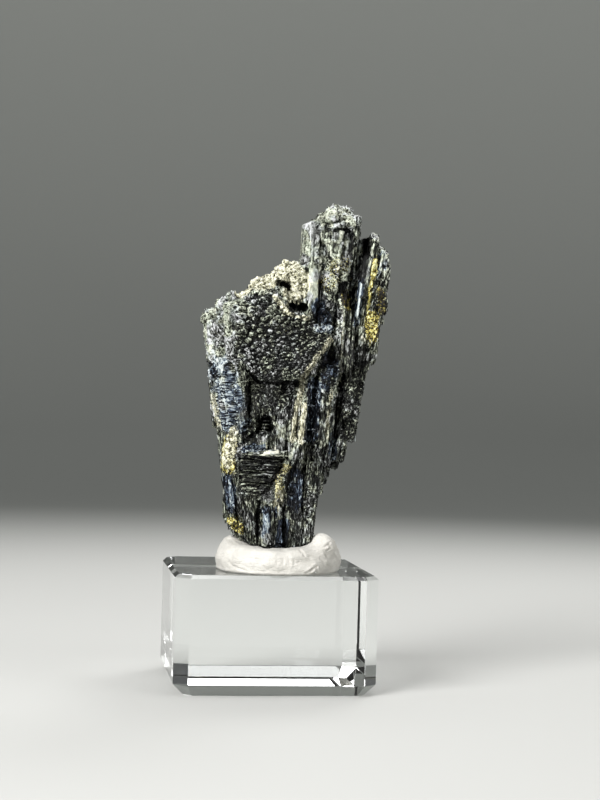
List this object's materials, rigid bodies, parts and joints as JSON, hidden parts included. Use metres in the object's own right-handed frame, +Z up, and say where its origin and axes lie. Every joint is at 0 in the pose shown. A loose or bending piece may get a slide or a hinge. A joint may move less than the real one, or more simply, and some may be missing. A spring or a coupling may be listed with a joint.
{
  "type": "stibnite specimen on a display block",
  "caption": "Fan of bladed, lengthwise striated stibnite crystals, held upright by white putty on a clear square display block.",
  "frame": {"origin": "centre of the underside of the clear block, on the surface that it stands on", "axes": "+Z up, along the height; -Y is the front, the side that the specimen's plate faces; +X to the right"},
  "size_m": [0.0336, 0.032, 0.0775],
  "materials": {
    "clear_acrylic": "polished clear acrylic, IOR 1.49",
    "white_putty": "soft white mounting putty, matt with a slight sheen",
    "stibnite": "lead-grey metallic stibnite, striated, with pale frost, blue tarnish and yellow crust"
  },
  "bodies": {
    "root": {"acrylic_block": "clear_acrylic", "mounting_putty": "white_putty", "stibnite_cluster": "stibnite"}
  },
  "joints": []
}
